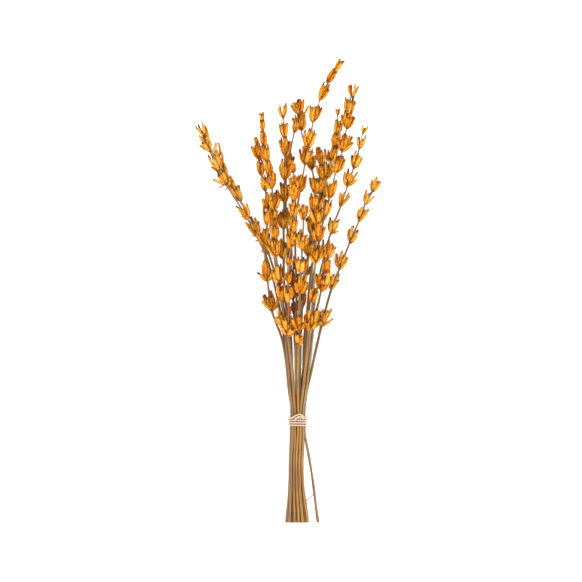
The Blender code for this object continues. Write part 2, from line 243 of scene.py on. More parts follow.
TWINE_COLUMNS = 18
TWINE_TURN_POINTS = 180
TWINE_FINE_STEP = 0.4
TWINE_PLIES = 3
TWINE_TWIST = 4.6
TWINE_FULLNESS = 1.04
PLY_GROOVE = 0.32
KNOT_STEPS = 12

# A calyx's root, belly and tip, its half width and half depth as vectors, and its whorl's size
Calyx = namedtuple("Calyx", "root belly tip across outward size")

# A spray's seat is (columns right, rows up) in the tie, and its height that of the upper stem. Its route
# holds (along, across) from the tip down, and its whorls (along, size), where size 1 is WHORL_WIDTH wide
Spray = namedtuple("Spray", "name seat height route whorls stray_foot pressed", defaults=(None, False))

SPRAYS = [
    Spray("spray_01", (-1, -0.5), 17,
        [(336, -82), (320, -76), (293, -63), (263, -45), (249, -37), (225, -26), (192, -18), (157, -12)],
        [(333, 0.6), (327, 0.7), (321, 1.25), (304, 0.9), (292, 0.9), (263, 1.35), (249, 1.2)]),
    Spray("spray_02", (-1.5, -1.5), 4.8,
        [(315, -69), (297, -62), (280, -52), (252, -36), (233, -26), (200, -17), (157, -10)],
        [(315, 0.7), (306, 0.7), (297, 0.75), (288, 0.8), (279, 0.9), (252, 0.6), (235, 1.35)],
        pressed=True),
    Spray("spray_03", (-2.5, 0.5), 47,
        [(347, -31), (325, -29.5), (310, -27), (289, -23), (271, -21), (257, -22), (233, -21),
         (200, -16), (157, -8)],
        [(346, 0.2), (338, 0.4), (325, 0.55), (311, 0.85), (299, 0.7), (289, 1.0), (271, 0.95),
         (257, 1.05), (233, 1.0)]),
    Spray("spray_04", (-2, -0.5), 27,
        [(326, -36), (300, -32), (287, -29), (271, -26.5), (255, -27), (233, -29), (209, -27),
         (184, -23), (157, -14)],
        [(326, 0.15), (314, 0.85), (300, 0.7), (287, 0.5), (271, 0.7), (259, 0.8), (240, 0.9), (211, 1.0),
         (184, 1.1)]),
    Spray("spray_05", (-1.5, 0.5), 37,
        [(349, -13), (317, -12), (278, -12), (255, -13), (229, -13), (192, -11), (157, -7)],
        [(349, 0.6), (332, 0.7), (317, 0.8), (297, 1.0), (278, 1.3), (255, 1.0), (229, 0.95)]),
    Spray("spray_06", (0, -0.5), 24,
        [(337, -3), (319, -7), (292, -11), (259, -10), (226, -7), (192, -4.5), (157, -3)],
        [(337, 0.5), (304, 0.9), (278, 0.7), (259, 0.8)]),
    Spray("spray_07", (0.5, -1.5), 17,
        [(353, 1), (340, 2), (305, 11), (285, 15), (243, 13), (200, 10), (157, 6)],
        [(353, 1.6), (340, 0.95), (305, 0.8), (285, 0.9), (266, 0.85), (243, 0.85)]),
    Spray("spray_08", (-0.5, 0.5), 47,
        [(389, 32), (379, 26), (365, 19), (346, 13), (324, 9), (286, 1), (264, -1.5), (230, -3),
         (200, -1.5), (157, -2)],
        [(389, 0.55), (379, 0.65), (365, 0.9), (346, 0.8), (324, 1.1), (310, 1.05), (286, 1.2)]),
    Spray("spray_09", (1.5, 0.5), 47,
        [(367, 46), (361, 43), (341, 41.5), (321, 38), (303, 32), (281, 27), (243, 18), (200, 11),
         (157, 7)],
        [(367, 0.5), (352, 0.95), (341, 1.1), (321, 1.1), (303, 1.1), (281, 0.85), (265, 0.85),
         (243, 0.85)]),
    Spray("spray_10", (2, -0.5), 27,
        [(352, 34), (335, 33.5), (325, 30), (312, 27), (281, 21), (243, 15), (200, 9), (157, 5)],
        [(352, 0.1), (335, 0.75), (325, 0.75), (312, 0.9), (297, 0.85), (281, 0.8), (259, 0.85)]),
    Spray("spray_11", (1, -0.5), 37,
        [(317, 17), (297, 21), (285, 19), (250, 12), (200, 5), (157, 1)],
        [(317, 0.25), (309, 0.65), (297, 0.8), (285, 0.85), (269, 0.9), (250, 0.85), (187, 0.55)]),
    Spray("spray_12", (2.5, 0.5), 37,
        [(336, 55), (323, 52), (304, 47), (274, 37), (251, 28), (229, 22), (201, 16), (157, 9)],
        [(336, 0.15), (323, 0.55), (306, 0.8), (292, 1.15), (274, 0.7), (251, 1.15), (229, 0.9)],
        stray_foot=17.4),
    Spray("spray_13", (1.5, -1.5), 4.8,
        [(286, 64.5), (275, 57.5), (261, 52.5), (243, 45), (220, 36), (203, 29), (172, 20.5), (157, 17)],
        [(286, 0.85), (275, 0.55), (261, 0.8), (243, 0.9), (220, 1.0), (203, 0.95), (172, 1.45)],
        pressed=True),
    Spray("spray_14", (0.5, 0.5), 57,
        [(286, 15), (254, 11), (231, 8), (200, 4), (157, 2)],
        [(286, 0.95), (269, 0.95), (254, 1.0), (231, 0.95)]),
    Spray("spray_15", (0, 1.5), 67,
        [(262, 4), (237, 3), (216, 2.5), (200, 1), (155, 0)],
        [(262, 0.65), (237, 1.0), (216, 0.85), (200, 1.1), (167, 0.8), (155, 0.5)]),
    Spray("spray_16", (1, 1.5), 67,
        [(259, 17), (225, 14), (199, 13), (169, 10), (157, 8.5)],
        [(259, 0.85), (245, 0.85), (225, 1.1), (191, 0.7), (169, 1.7)]),
    Spray("spray_17", (2, 1.5), 57,
        [(229, 25.5), (202, 19.5), (157, 11.5)],
        [(229, 1.2), (216, 0.5), (202, 1.2)]),
    Spray("spray_18", (-2, 1.5), 57,
        [(245, -20), (231, -19), (208, -16), (192, -14), (157, -10.5)],
        [(245, 0.7), (231, 0.9), (208, 1.0), (192, 0.8), (170, 1.1)]),
    Spray("spray_19", (-1, 1.5), 67,
        [(303, -4.5), (286, -3.5), (264, -4), (238, -6), (225, -8), (192, -9), (163, -8.5), (153, -7.5)],
        [(302, 0.4), (286, 0.75), (278, 0.8), (264, 0.8), (250, 0.65), (238, 0.8), (222, 0.35), (208, 0.35),
         (192, 0.6), (164, 1.4)]),
]


# Where the stems and calyces go, by the same rule as the solids


def smooth_through(knots, values, at):
    """A cubic through the values that never overshoots between two of them."""
    knots, values = np.asarray(knots, float), np.asarray(values, float)
    steps = np.diff(knots)
    rise = np.diff(values) / steps
    slopes = np.zeros(len(knots))
    slopes[0], slopes[-1] = rise[0], rise[-1]
    same_way = rise[:-1] * rise[1:] > 0
    both = np.where(same_way, rise[:-1] + rise[1:], 1)
    slopes[1:-1] = np.where(same_way, 2 * rise[:-1] * rise[1:] / both, 0)
    i = np.clip(np.searchsorted(knots, at) - 1, 0, len(steps) - 1)
    t = (at - knots[i]) / steps[i]
    start = values[i] * (1 + 2 * t) + slopes[i] * steps[i] * t
    end = values[i + 1] * (3 - 2 * t) - slopes[i + 1] * steps[i] * (1 - t)
    return start * (1 - t) ** 2 + end * t**2


def stem_line(one, fine_step=None):
    """Points along a stem's middle line and the radius at each, from the cut end up: the solid's few
    points, or with a fine step the smooth line through the same knots, which flares at once above the
    tie. Above the tie its height goes from its row's to the upper stem's as a quarter of a sine."""
    seat_across = one.seat[0] * SEAT_PITCH
    seat_height = one.seat[1] * ROW_PITCH
    tied = [(TIE_ALONG + side * TIE_HALF_WIDTH, TIE_ACROSS + seat_across) for side in (-1, 1)]
    if one.stray_foot is None:
        jitter = random.Random(f"{SEED} foot of {one.name}").uniform(-FOOT_JITTER, FOOT_JITTER)
        foot = FOOT_ACROSS + seat_across * FOOT_SPREAD + jitter
        low = [(0, foot), (WAIST_ALONG, WAIST_ACROSS + seat_across)]
    else:
        low = [(0, one.stray_foot)]
    upper = one.route[::-1]
    if fine_step:
        upper = [flared(tied[1], upper[0])] + upper
        if one.stray_foot is not None:
            low = low + [flared(tied[0], low[0])]
    knots, values = zip(*(low + tied + upper))
    top = knots[-1]
    if fine_step:
        along = np.linspace(0, top, round(top / fine_step))
    else:
        above = np.arange(TIE_ALONG + TIE_HALF_WIDTH, top - STEM_STEP / 2, STEM_STEP)
        along = np.concatenate([[knot for knot, _ in low + tied[:1]], above, [top]])
    across = smooth_through(knots, values, along)
    fan = np.sin(np.clip((along - TIE_ALONG - TIE_HALF_WIDTH) / FAN_LENGTH, 0, 1) * math.pi / 2)
    droop = 1 + (FOOT_LIFT - 1) * np.clip(1 - along / WAIST_ALONG, 0, 1)
    height = TIE_HEIGHT + seat_height * droop
    height += (one.height - TIE_HEIGHT - seat_height) * fan
    if fine_step:
        across = across + STEM_WANDER * wander_of(one, along, WANDER_LENGTHS)
    points = np.stack([across, along, height], axis=1)
    return points, stem_radius_at(points, along)


def flared(tied, free):
    """The knot a little way from the tie, straight on towards the next one."""
    share = FLARE_LENGTH / abs(free[0] - tied[0])
    return tuple(np.add(tied, share * np.subtract(free, tied)))


def wander_of(one, along, lengths):
    """A stem's slow unevenness: the mean of two sines along it, with this spray's own lengths and starts."""
    draw = random.Random(f"wander {one.name} {lengths}")
    waves = [np.sin(math.tau * (along / draw.uniform(*lengths) + draw.random())) for _ in range(2)]
    return (waves[0] + waves[1]) / 2


def stem_radius_at(points, along):
    """The stem's radius this far along, tapering from the cut to the tip."""
    radii = (STEM_FOOT_RADIUS, STEM_RADIUS, STEM_RADIUS, STEM_TIP_RADIUS)
    return np.interp(along, (0, WAIST_ALONG, TAPER_ALONG, points[-1][1]), radii)


def segment_distances(start, end, starts, ends):
    """The least distance from one segment to each of many."""
    own, others, gap = end - start, ends - starts, start - starts
    own_square = own @ own
    squares = np.einsum("ij,ij->i", others, others)
    lean = others @ own
    ahead = gap @ own
    aside = np.einsum("ij,ij->i", others, gap)
    spread = np.maximum(own_square * squares - lean**2, 1e-9)
    s = np.clip((lean * aside - ahead * squares) / spread, 0, 1)
    t = np.clip((lean * s + aside) / squares, 0, 1)
    s = np.clip((lean * t - ahead) / own_square, 0, 1)
    return np.linalg.norm(gap + s[:, None] * own - t[:, None] * others, axis=1)


def runs_of(calyx):
    """A calyx as two capsules, each (start, end, radius): root to belly, and on to near its slim tip."""
    near_tip = calyx.belly + (calyx.tip - calyx.belly) * (1 - BELLY_AT)
    return [
        (calyx.root, calyx.belly, CALYX_HALF_WIDTH),
        (calyx.belly, near_tip, CALYX_HALF_WIDTH * TIP_SLIMNESS),
    ]


def is_clear(calyx, obstacles, lowest):
    """Whether a calyx keeps its gap from every other spray and from the surface below."""
    if min(calyx.tip[2], calyx.belly[2] - CALYX_HALF_DEPTH) < lowest:
        return False
    starts, ends, radii = obstacles
    return all(
        (segment_distances(start, end, starts, ends) - radii - radius).min() > LEAST_GAP
        for start, end, radius in runs_of(calyx)
    )


def between(points, run, at):
    """Where a line through the points is at these places, when run says where each point is."""
    return np.stack([np.interp(at, run, points[:, axis]) for axis in range(3)], axis=-1)


def on_stem(points, along):
    """The point this far along a stem's middle line."""
    return between(points, points[:, 1], along)


def calyx_at(points, along, angle, lean, length, size):
    """A calyx rooted in a stem, leaning from its direction at this angle round it and bowing out."""
    forward = on_stem(points, along + CALYX_LENGTH / 2) - on_stem(points, along - CALYX_LENGTH)
    forward /= np.linalg.norm(forward)
    side = np.cross(forward, (0, 0, 1))
    side /= np.linalg.norm(side)
    up = np.cross(side, forward)
    out = math.cos(angle) * side + math.sin(angle) * up
    direction = math.cos(lean) * forward + math.sin(lean) * out
    outward = math.cos(lean) * out - math.sin(lean) * forward
    root = on_stem(points, along) + out * ROOT_OFFSET * stem_radius_at(points, along)
    root -= direction * ROOT_DEPTH
    reach = ROOT_DEPTH + length
    belly = root + direction * reach * BELLY_AT + outward * reach * BELLY_BOW
    across = np.cross(direction, outward)
    return Calyx(
        root, belly, root + direction * reach, across * CALYX_HALF_WIDTH, outward * CALYX_HALF_DEPTH, size
    )


def spread_of(size):
    """How far out a calyx leans in its own length, as a whorl of this size is wide."""
    return min(max(WHORL_WIDTH / 2 * size - CALYX_HALF_WIDTH, LEAST_SPREAD), MOST_SPREAD) / CALYX_LENGTH


def length_of(size):
    """The length of a calyx in a whorl of this size, full except in the smallest whorls."""
    return CALYX_LENGTH * min(1, LEAST_LENGTH + size)


def calyces_of(one, points, draw, obstacles):
    """The calyces of a spray's whorls, each turned, closed or shortened until it clears the others."""
    lowest = -PRESSED_DEPTH if one.pressed else FLOOR_GAP
    found = []
    for along, size in one.whorls:
        count = round(LEAST_CALYCES + MORE_CALYCES * size)
        turn = -math.pi / 2 if one.pressed else draw.uniform(0, math.tau)
        for k in range(count):
            tier = k % 2
            angle = turn + math.tau * (k + draw.uniform(-TURN_JITTER, TURN_JITTER)) / count
            lean = math.asin(min(spread_of(size) * draw.triangular(*TIER_SHARES[tier]), STEEPEST))
            length = length_of(size) * draw.uniform(*LENGTH_SHARES)
            start = along + WHORL_STAGGER * size * (tier - 0.5) + draw.uniform(-ROOT_SCATTER, ROOT_SCATTER)
            tries = (
                calyx_at(points, start, angle + math.radians(shift), lean * close, length * short, size)
                for close, short in CLOSINGS
                for shift in TURNS
            )
            clear = next((calyx for calyx in tries if is_clear(calyx, obstacles, lowest)), None)
            if clear:
                found.append(clear)
    return found


def capsules(points, radii):
    """The straight runs of a stem, as obstacles."""
    return points[:-1], points[1:], np.maximum(radii[:-1], radii[1:])


def other_stems(one, stems):
    """The straight runs of every other spray's stem."""
    return [capsules(*stem) for name, stem in stems.items() if name != one.name]


def joined(groups):
    """The starts, ends and radii of several groups of runs, each in one array."""
    return [np.concatenate(parts) for parts in zip(*groups)]


def arrange():
    """Every spray's calyces. The sprays on top are laid out first, as they show most."""
    stems = {one.name: stem_line(one) for one in SPRAYS}
    laid = {}
    for one in sorted(SPRAYS, key=lambda one: -one.height):
        draw = random.Random(f"{SEED} {one.name}")
        groups = other_stems(one, stems)
        for calyces in laid.values():
            runs = [run for calyx in calyces for run in runs_of(calyx)]
            groups.append([np.array(column) for column in zip(*runs)])
        laid[one.name] = calyces_of(one, stems[one.name][0], draw, joined(groups))
    return stems, laid


def placed(points):
    """Millimetres in the bunch's own measures to metres in the frame, none below the floor, and the
    tips at the very top pressed down to half their rise over it."""
    points = np.asarray(points) - (MIDDLE_ACROSS, MIDDLE_ALONG, 0)
    points[..., 2] -= np.maximum(points[..., 2] - TOP_HEIGHT, 0) / 2
    points[..., 2] = np.maximum(points[..., 2], 0)
    return points * MM


# Surfaces


def new_object(name, data):
    """An object in the scene with this mesh, light or camera."""
    made = bpy.data.objects.new(name, data)
    bpy.context.scene.collection.objects.link(made)
    return made


def grid_shells(rings, ends, values, along):
    """Closed shells, each a stack of rings with quads between neighbours, wrapped round, and a fan
    of triangles from its first and last ring to an end point.

    rings is (shells, steps, columns, 3) and ends is (shells, 2, 3), both in millimetres. values maps
    an attribute's name to a number for each ring point and end point, (shells, steps * columns + 2).
    along is the second texture coordinate of each step, (shells, steps)."""
    shells, steps, columns, _ = rings.shape
    size = steps * columns
    corner = np.arange(size).reshape(steps, columns)
    ahead = np.roll(corner, -1, axis=1)
    quads = np.stack([corner[:-1], ahead[:-1], ahead[1:], corner[1:]], axis=-1).reshape(-1, 4)
    first = np.stack([ahead[0], corner[0], np.full(columns, size)], axis=-1)
    last = np.stack([corner[-1], ahead[-1], np.full(columns, size + 1)], axis=-1)
    offsets = np.arange(shells)[:, None, None] * (size + 2)
    points = np.concatenate([rings.reshape(shells, size, 3), ends], axis=1).reshape(-1, 3)
    faces = [(quads + offsets).reshape(-1, 4), (np.concatenate([first, last]) + offsets).reshape(-1, 3)]

    column = np.arange(columns)[:, None]
    lower, upper = along[:, :-1], along[:, 1:]
    quad_turn = (column + np.array([0, 1, 1, 0])) / columns
    quad_along = np.stack([lower, lower, upper, upper], axis=-1)[:, :, None]
    fan_turn = (column + np.array([[1, 0, 0.5], [0, 1, 0.5]])[:, None]) / columns
    fan_along = along[:, [0, -1], None, None]
    uv = np.concatenate([
        np.stack(np.broadcast_arrays(turn, place), axis=-1).reshape(-1, 2)
        for turn, place in ((quad_turn, quad_along), (fan_turn, fan_along))
    ])
    return points, faces, uv, {name: np.asarray(value).reshape(-1) for name, value in values.items()}


def make_piece(name, lots, material, nodes):
    """One object from several lots of shells, which rides with the bunch and stands for its solids."""
    points, faces, uvs, values = zip(*lots)
    starts = np.cumsum([0] + [len(lot) for lot in points])
    corners = [face for lot, start in zip(faces, starts) for part in lot for face in (part + start).tolist()]
    mesh = bpy.data.meshes.new(name)
    mesh.from_pydata(placed(np.concatenate(points)), [], corners)
    layer = mesh.uv_layers.new(name="surface")
    layer.data.foreach_set("uv", np.concatenate(uvs).astype(np.float32).ravel())
    for key in values[0]:
        value = np.concatenate([lot[key] for lot in values]).astype(np.float32)
        mesh.attributes.new(key, "FLOAT", "POINT").data.foreach_set("value", value)
    mesh.shade_smooth()
    mesh.materials.append(material)
    piece = new_object(name, mesh)
    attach(piece, "root")
    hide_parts(*nodes)


def unit(vectors):
    """Each vector at length 1."""
    return vectors / np.linalg.norm(vectors, axis=1, keepdims=True)


def angles(columns):
    """The angle of each column round a ring."""
    return np.arange(columns) * math.tau / columns


def swept_rings(path, radius, reference):
    """Rings round a path: path(s) + radius(s, angle) * (cos(angle) * side(s) + sin(angle) * up(s)),
    where side and up are square to the path and up leans to the reference."""
    forward = unit(np.gradient(path, axis=0))
    side = unit(np.cross(reference, forward))
    up = np.cross(forward, side)
    angle = angles(radius.shape[1])
    spokes = np.cos(angle)[None, :, None] * side[:, None] + np.sin(angle)[None, :, None] * up[:, None]
    return path[:, None] + radius[..., None] * spokes


def stem_shell(one, draw, tint, others):
    """A lavender stem: a square section with rounded corners, radius * (1 + squareness * cos(4 angle)),
    which swells under each whorl as a bell curve, and ends at the cut in a flat face with a pith. Others
    are the runs of the other stems."""
    path, radii = stem_line(one, STEM_FINE_STEP)
    along = path[:, 1]
    for root, _ in one.whorls:
        radii = radii * (1 + NODE_SWELL * np.exp(-(((along - root) / NODE_LENGTH) ** 2)))
    radii = radii * (1 + GIRTH_CHANGE * wander_of(one, along, GIRTH_LENGTHS))
    turn = draw.uniform(0, math.pi / 2)
    ridge = np.cos(4 * (angles(STEM_COLUMNS) - turn))
    rings = swept_rings(path, radii[:, None] * (1 + STEM_SQUARENESS * ridge), (0, 0, 1))
    pith, rim = (path[0] + (rings[0] - path[0]) * share for share in (PITH_SHARE, PITH_SHARE + PITH_RIM))
    rings = np.concatenate([pith[None], rim[None], rings])
    steps = len(rings)
    texture = np.concatenate([[0, 0], along])
    # How near each point is to another stem, the mask for the painted contact shade
    near = nearness(rings.reshape(-1, 3), *others, STEM_SHADE_REACH).max(axis=1)
    values = {
        "touch": np.append(near, [0, 0]),
        "ridge": np.append(np.tile(ridge, steps), [1, 1]),
        "rise": np.append(np.repeat(texture / along[-1], STEM_COLUMNS), [0, 1]),
        "pith": np.append((np.arange(steps) == 0).repeat(STEM_COLUMNS), [1, 0]),
        "tint": np.full(steps * STEM_COLUMNS + 2, tint),
    }
    ends = np.stack([path[0], path[-1] + (path[-1] - path[-2]) * STEM_POINT])
    return grid_shells(rings[None], ends[None], values, texture[None])


def fibre_shell():
    """The fine dry fibre between the stray stem and the bunch: a straight line that bows towards the cut
    ends by bow * share * (1 - share). It takes the stem material's painted contact shade at FIBRE_DARKNESS."""
    sprays = {one.name: one for one in SPRAYS}
    start, end = (on_stem(stem_line(sprays[name], STEM_FINE_STEP)[0], along) for name, along in FIBRE_ENDS)
    share = np.linspace(0, 1, FIBRE_POINTS)
    path = start + share[:, None] * (end - start)
    path[:, 1] -= FIBRE_BOW * (share * (1 - share))
    rings = swept_rings(path, np.full((FIBRE_POINTS, FIBRE_COLUMNS), FIBRE_RADIUS), (0, 0, 1))
    values = {"touch": FIBRE_DARKNESS, "ridge": 1.0, "rise": 0.0, "pith": 0.0, "tint": 1.0}
    values = {key: np.full(FIBRE_POINTS * FIBRE_COLUMNS + 2, value) for key, value in values.items()}
    return grid_shells(rings[None], path[None, [0, -1]], values, share[None])


def nearness(points, starts, ends, radii, reach):
    """How near each point is to each straight round run: 1 on or in its skin, falling to 0 at reach from
    it. A distance is from the point to the nearest place on the run's middle line, less its radius."""
    runs = ends - starts
    away = points[:, None] - starts
    share = np.clip(np.einsum("ijk,jk->ij", away, runs) / np.einsum("ij,ij->i", runs, runs), 0, 1)
    gaps = np.linalg.norm(away - share[..., None] * runs, axis=2) - radii
    return 1 - np.clip(gaps / reach, 0, 1)


def contact_shade_of(calyces, skins):
    """For each point of each calyx's skin, how near it is to any other calyx of its spray, each taken as
    two straight round runs that meet at its belly: the mask of the calyx material's painted contact shade."""
    root, belly, tip, across, *_ = (np.array(column) for column in zip(*calyces))
    widths = np.linalg.norm(across, axis=1) * CALYX_SLIMNESS
    starts, ends = np.concatenate([root, belly]), np.concatenate([belly, tip])
    near = nearness(skins.reshape(-1, 3), starts, ends, np.tile(widths, 2), CALYX_SHADE_REACH)
    count = len(calyces)
    near = near.reshape(count, -1, 2, count).max(axis=2)
    near[np.arange(count), :, np.arange(count)] = 0
    return near.max(axis=2)


def calyx_shells(calyces, draws):
    """Calyces as ribbed, crumpled buds. Each middle line runs from root to tip and bows outwards as
    bow * (1 - (1 - below)^2) * (1 - above^2), where below and above go from 0 to 1 before the belly and
    after it, and its tip hooks over and swings aside with above^2. One that leans far out is straighter,
    and in the middle whorls shorter too. The rings are ellipses whose every second point stands out in a
    rib, and the last ring's ribs run on into five teeth round a sunken mouth."""
    root, _, tip, across, outward, whorl_size = (np.array(column) for column in zip(*calyces))
    tint, girth, hook, swing, mouth = draws[..., None]
    length = np.linalg.norm(tip - root, axis=1, keepdims=True)
    direction = (tip - root) / length
    steep = np.clip((STEEP_FROM - direction[:, 1:2]) / STEEP_FADE, 0, 1)
    first, last = SHORTENED_ALONG
    length = length * (1 - STEEP_SHORTNESS * steep * ((root[:, 1:2] > first) & (root[:, 1:2] < last)))
    cupped = np.clip((whorl_size[:, None] - SPLAYED_SIZE) / (CUPPED_SIZE - SPLAYED_SIZE), 0, 1)
    hook = hook + SPLAYED_HOOK * (1 - cupped) + CUPPED_HOOK * cupped
    s = CALYX_RINGS_AT
    below = np.clip(s / BELLY_AT, 0, 1)
    above = np.clip((s - BELLY_AT) / (1 - BELLY_AT), 0, 1)
    bow = BELLY_BOW * (1 - (1 - below) ** 2) * (1 - above**2) * (1 - STEEP_STRAIGHTNESS * steep)
    middle = (
        root[:, None]
        + direction[:, None] * (length * s)[..., None]
        + unit(outward)[:, None] * (length * (bow + hook * above**2))[..., None]
        + unit(across)[:, None] * (length * swing * above**2)[..., None]
    )
    count, steps = len(calyces), len(s)
    angle = angles(CALYX_COLUMNS)
    rib = np.cos(angle * CALYX_COLUMNS / 2)
    widths = np.tile(CALYX_GIRTH, (count, 1))
    widths[:, -1:] *= mouth
    uneven = np.random.default_rng(SEED + count).uniform(-1, 1, (count, steps, CALYX_COLUMNS))
    ribbed = widths[..., None] * (1 + RIB_RISE * rib + CALYX_CRUMPLE * uneven)
    spokes = (
        np.cos(angle)[:, None] * (outward * CALYX_SLIMNESS)[:, None]
        + np.sin(angle)[:, None] * (across * CALYX_SLIMNESS)[:, None]
    )
    rings = middle[:, :, None] + ribbed[..., None] * (girth[..., None] * spokes)[:, None]
    rings[:, -1] += direction[:, None] * (length * (TOOTH_SHARE * (1 + rib)))[..., None]
    ends = np.stack([root, middle[:, -1] - direction * (length * MOUTH_DEPTH)], axis=1)
    size = steps * CALYX_COLUMNS
    reached = np.append(np.repeat(s, CALYX_COLUMNS), [0, MOUTH_REACH])
    values = {
        "tint": np.repeat(tint, size + 2, axis=1),
        "reach": np.broadcast_to(reached, (count, size + 2)),
        # How near each point is to another calyx, the mask for the painted contact shade
        "touch": contact_shade_of(calyces, np.concatenate([rings.reshape(count, size, 3), ends], axis=1)),
    }
    return grid_shells(rings, ends, values, s * length)


def resized(calyx, width, depth):
    """A calyx with its width and depth in these shares."""
    return calyx._replace(across=calyx.across * width, outward=calyx.outward * depth)


def opened(calyces, draw):
    """The solids' calyces, shorter and slimmer and with their tips further apart, most in small whorls."""
    found = []
    for calyx in calyces:
        slim, out = OPEN_SMALL if calyx.size < SMALL_SIZE else OPEN_LARGE
        tip = calyx.root + (calyx.tip - calyx.root) * draw.uniform(*OPEN_REACHES)
        tip += calyx.outward * out * draw.uniform(*OPEN_LEANS)
        found.append(resized(calyx, slim, slim)._replace(tip=tip))
    return found


def paired(one, calyces, draw):
    """The solids' calyces, most of them as two slim ones side by side that part towards their tips. In
    some sprays those of the top whorl stay single and open out."""
    found = []
    for calyx in calyces:
        if one.name in OPEN_TOPS and calyx.root[1] > one.whorls[0][0] - TOP_WHORL_LENGTH:
            found += opened([calyx], draw)
            continue
        if calyx.size < SMALL_SIZE:
            calyx = calyx._replace(tip=calyx.root + (calyx.tip - calyx.root) * SMALL_SHORTNESS)
        low = calyx.root[1] < LOW_ALONG
        if draw.random() < (LONE_CHANCE_LOW if low else LONE_CHANCE):
            stout = LOW_STOUTNESS if low else 1
            found.append(resized(calyx, stout, stout))
            continue
        for side in (-1, 1):
            shift = calyx.across * side * draw.uniform(*PAIR_SHIFTS)
            slip = (calyx.tip - calyx.root) * draw.uniform(*PAIR_SLIPS)
            slip += calyx.outward * draw.uniform(*PAIR_LEANS)
            root, belly, tip = (place + shift * share for place, share in zip(calyx[:3], PAIR_PARTING))
            slim = resized(calyx, PAIR_SLIMNESS, PAIR_SLIMNESS)
            found.append(slim._replace(root=root, belly=belly, tip=tip + slip))
    return found


def filling_calyces(one, points, draw):
    """The small upright calyces that fill the middle of each whorl, inside the ones that stand out. The
    open tops and the small whorls of the fresh sprays have only one."""
    least, more = FILLING_CALYCES
    fresh = one.name in FRESH_SPRAYS
    shortest = FILLING_LENGTHS[fresh]
    found = []
    for rank, (along, size) in enumerate(one.whorls):
        open_top = rank == 0 and one.name in OPEN_TOPS and size < CUPPED_SIZE
        bare = open_top or (fresh and size < FRESH_BARE_SIZE)
        count = 1 if bare else max(1, round(least + more * size))
        turn = draw.uniform(0, math.tau)
        for k in range(count):
            angle = turn + math.tau * k / count
            lean = math.asin(spread_of(size) * draw.uniform(*FILLING_LEANS))
            length = length_of(size) * draw.uniform(shortest, shortest + FILLING_LENGTH_RANGE)
            start = along + WHORL_STAGGER * draw.uniform(*FILLING_STAGGERS)
            calyx = calyx_at(points, start, angle, lean, length, size)
            found.append(resized(calyx, FILLING_SLIMNESS, FILLING_SLIMNESS))
    return found


def bracts_of(one, points, draw):
    """The pair of dry scales that clasps the foot of each whorl, from a third of their length below it,
    and the long thin bracts that stand out from some stems on one side."""
    found = []
    for along, size in one.whorls:
        turn = draw.uniform(0, math.pi)
        start = along - BRACT_LENGTH * size / 3
        for k in range(2):
            lean = math.radians(draw.uniform(*BRACT_LEANS))
            bract = calyx_at(points, start, turn + k * math.pi, lean, BRACT_LENGTH * size, size)
            found.append(resized(bract, *BRACT_GIRTH))
    for along, side, lean, length in LOOSE_BRACTS.get(one.name, ()):
        bract = calyx_at(points, along, math.acos(side), math.radians(lean), length, SPLAYED_SIZE)
        found.append(resized(bract, *LOOSE_BRACT_GIRTH))
    return found


def dried_florets(calyces, draw):
    """The shrivelled florets that poke out of the mouths of some calyces."""
    found = []
    for calyx in calyces:
        if draw.random() > FLORET_CHANCE:
            continue
        reach = calyx.tip - calyx.root
        root = calyx.tip - reach * FLORET_ROOT
        tip = calyx.tip + reach * draw.uniform(*FLORET_REACHES) + calyx.across * draw.uniform(*FLORET_SWINGS)
        floret = resized(calyx, draw.uniform(*FLORET_WIDTHS), FLORET_DEPTH)
        found.append(floret._replace(root=root, belly=(root + tip) / 2, tip=tip))
    return found


def shifted(calyces, coarse, fine):
    """The same calyces on the smooth stem line, moved by the gap between it and the solid's."""
    moved = []
    for calyx in calyces:
        gap = on_stem(fine, calyx.root[1]) - on_stem(coarse, calyx.root[1])
        moved.append(calyx._replace(root=calyx.root + gap, belly=calyx.belly + gap, tip=calyx.tip + gap))
    return moved


def calyx_draws(draw, count, tints, mouths):
    """For each calyx its tint, girth, hook, sideways swing and the width of its mouth."""
    ranges = (tints, GIRTHS, HOOKS, SWINGS, mouths)
    drawn = [[draw.uniform(*span) for span in ranges] for _ in range(count)]
    return np.array(drawn).reshape(count, len(ranges)).T


def make_spray(one, stems, laid, stem_finish, calyx_finish):
    """A spray's stem, and as a second piece its calyces, with their bracts and dried florets."""
    draw = random.Random(f"surface {SEED} {one.name}")
    number = one.name[-2:]
    coarse = stems[one.name][0]
    fine, _ = stem_line(one, STEM_FINE_STEP)
    lots = [stem_shell(one, draw, STEM_TONES.get(one.name, draw.random()), joined(other_stems(one, stems)))]
    if one.name == FIBRE_ENDS[0][0]:
        lots.append(fibre_shell())
    make_piece(f"stem_{number}", lots, stem_finish, [one.name])
    fresh = one.name in FRESH_SPRAYS
    outer = shifted(laid[one.name], coarse, fine)
    outer = opened(outer, draw) if fresh else paired(one, outer, draw)
    withered = one._replace(whorls=WITHERED_WHORLS.get(one.name, []))
    inner = (
        filling_calyces(one, coarse, draw),
        bracts_of(one, coarse, draw),
        filling_calyces(withered, coarse, draw),
    )
    kinds = [outer, *(shifted(kind, coarse, fine) for kind in inner), dried_florets(outer, draw)]
    draws = [
        calyx_draws(draw, len(kind), np.add(tints, more) if fresh else tints, mouths)
        for kind, (tints, more, mouths) in zip(kinds, KINDS)
    ]
    lots = [calyx_shells([calyx for kind in kinds for calyx in kind], np.concatenate(draws, axis=1))]
    make_piece(f"calyces_{number}", lots, calyx_finish, [one.name])


